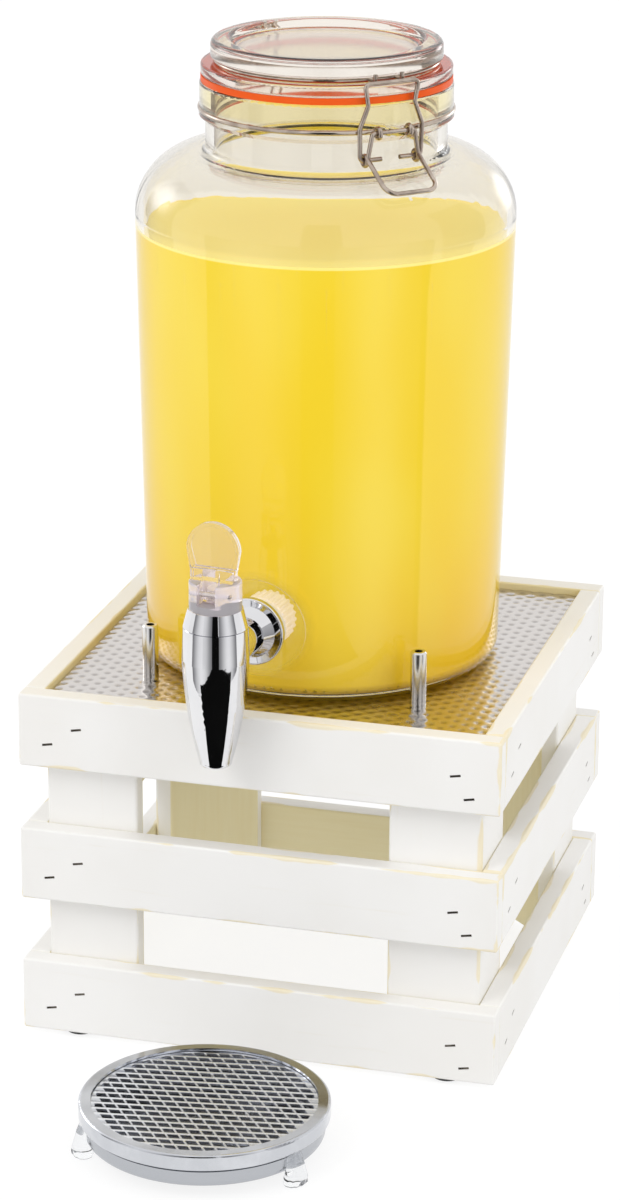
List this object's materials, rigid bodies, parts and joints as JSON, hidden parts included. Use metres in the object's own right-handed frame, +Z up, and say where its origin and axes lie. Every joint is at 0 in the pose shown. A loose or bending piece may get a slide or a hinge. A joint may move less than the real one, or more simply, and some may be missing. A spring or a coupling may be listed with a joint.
{
  "type": "drink dispenser",
  "caption": "Clip-top glass jar with a sprung lever tap, standing on a slatted painted crate with a steel plate, and a round drip tray with a lift-out grid.",
  "frame": {"origin": "on the surface that it stands on, below the middle of the whole part (crate and drip tray)", "axes": "+Z up, -Y towards the tap and the drip tray, +X to the right seen from the front"},
  "size_m": [0.235, 0.3824, 0.4748],
  "materials": {
    "painted_wood": "off-white paint, rubbed through to bare softwood along the edges",
    "black_rubber": "matte",
    "staple_steel": "dull",
    "plate_steel": "embossed with small dimples",
    "pin_steel": "turned",
    "jar_glass": "clear, glossy",
    "gasket_rubber": "satin",
    "closure_wire": "drawn",
    "tap_chrome": "mirror plated",
    "tap_clear": "clear, faintly violet",
    "nut_white": "moulded",
    "seal_silicone": "satin",
    "tray_steel": "polished",
    "tray_foot_clear": "clear"
  },
  "bodies": {
    "stand": {"front_slat_bottom": "painted_wood", "front_slat_middle": "painted_wood", "front_slat_top": "painted_wood", "back_slat_bottom": "painted_wood", "back_slat_middle": "painted_wood", "back_slat_top": "painted_wood", "left_slat_bottom": "painted_wood", "left_slat_middle": "painted_wood", "left_slat_top": "painted_wood", "right_slat_bottom": "painted_wood", "right_slat_middle": "painted_wood", "right_slat_top": "painted_wood", "corner_post_front_left": "painted_wood", "corner_post_front_right": "painted_wood", "corner_post_back_left": "painted_wood", "corner_post_back_right": "painted_wood", "rubber_feet": "black_rubber", "slat_staples": "staple_steel", "support_plate": "plate_steel", "stop_pins": "pin_steel", "pin_nuts": "pin_steel"},
    "jar": {"glass_jar": "jar_glass", "neck_wire": "closure_wire", "tap_body": "tap_chrome", "outer_washer": "seal_silicone", "inner_washer": "seal_silicone", "inner_nut": "nut_white", "tap_bonnet": "tap_chrome", "tap_collar": "tap_clear", "lever_pin": "pin_steel"},
    "lid": {"glass_lid": "jar_glass", "lid_gasket": "gasket_rubber", "lid_wire": "closure_wire"},
    "latch_handle": {"latch_lever": "closure_wire"},
    "latch_loop": {"latch_link": "closure_wire"},
    "tap_paddle": {"tap_lever": "tap_clear"},
    "tap_valve": {"valve_stem": "nut_white", "seat_cup": "seal_silicone"},
    "tray": {"drip_pan": "tray_steel", "tray_rim": "tray_steel", "tray_feet": "tray_foot_clear"},
    "tray_grid": {"drip_grid": "tray_steel"}
  },
  "joints": [
    {"name": "jar_lift", "type": "slide", "parent": "stand", "child": "jar", "axis": [0, 0, 1], "range_m": [0, 0.06]},
    {"name": "lid_hinge", "type": "hinge", "parent": "jar", "child": "lid", "pos_m": [-0.04626, 0.12083, 0.457], "axis": [-0.7133, -0.7009, 0], "range_deg": [0, 200]},
    {"name": "latch_handle_hinge", "type": "hinge", "parent": "jar", "child": "latch_handle", "pos_m": [0.04416, 0.02882, 0.4421], "axis": [-0.7133, -0.7009, 0], "range_deg": [0, 110]},
    {"name": "latch_loop_hinge", "type": "hinge", "parent": "latch_handle", "child": "latch_loop", "pos_m": [0.04226, 0.03074, 0.4293], "axis": [-0.7133, -0.7009, 0], "range_deg": [-105.5, 0]},
    {"name": "tap_paddle_hinge", "type": "hinge", "parent": "jar", "child": "tap_paddle", "pos_m": [-0.01492, -0.06817, 0.2442], "axis": [0.9945, -0.1045, 0], "range_deg": [0, 28], "stiffness_Nm_per_rad": 0.08},
    {"name": "tap_valve_lift", "type": "slide", "parent": "jar", "child": "tap_valve", "axis": [0, 0, 1], "range_m": [0, 0.0042]},
    {"name": "tray_lift", "type": "slide", "parent": "stand", "child": "tray", "axis": [0, 0, 1], "range_m": [0, 0.05]},
    {"name": "grid_lift", "type": "slide", "parent": "tray", "child": "tray_grid", "axis": [0, 0, 1], "range_m": [0, 0.04]}
  ],
  "couplings": [
    {"joint": "latch_loop_hinge", "follows": "latch_handle_hinge", "ratio": -0.95},
    {"joint": "tap_valve_lift", "follows": "tap_paddle_hinge", "m_per_rad": 0.0081851}
  ]
}
